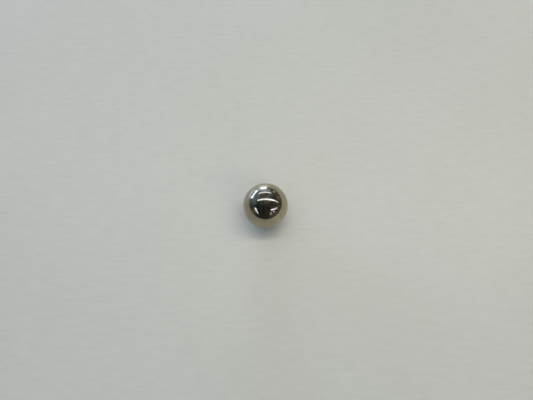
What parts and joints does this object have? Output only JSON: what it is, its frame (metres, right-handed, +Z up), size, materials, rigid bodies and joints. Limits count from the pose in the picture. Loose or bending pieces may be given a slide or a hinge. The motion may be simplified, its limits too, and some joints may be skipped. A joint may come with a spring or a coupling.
{
  "type": "steel ball",
  "caption": "Solid polished steel sphere with a mirror finish; it rolls in a race, clicks in a detent, closes a valve seat or serves as a tooling ball.",
  "frame": {"origin": "the ball's centre", "axes": "+Z is up, away from the surface under the ball. A sphere has no front, so +X and +Y are free: -Y faces the viewer and +X is to the viewer's right"},
  "size_m": [0.01, 0.01, 0.01],
  "materials": {
    "polished_steel": "polished"
  },
  "bodies": {
    "root": {"ball": "polished_steel"}
  },
  "joints": []
}
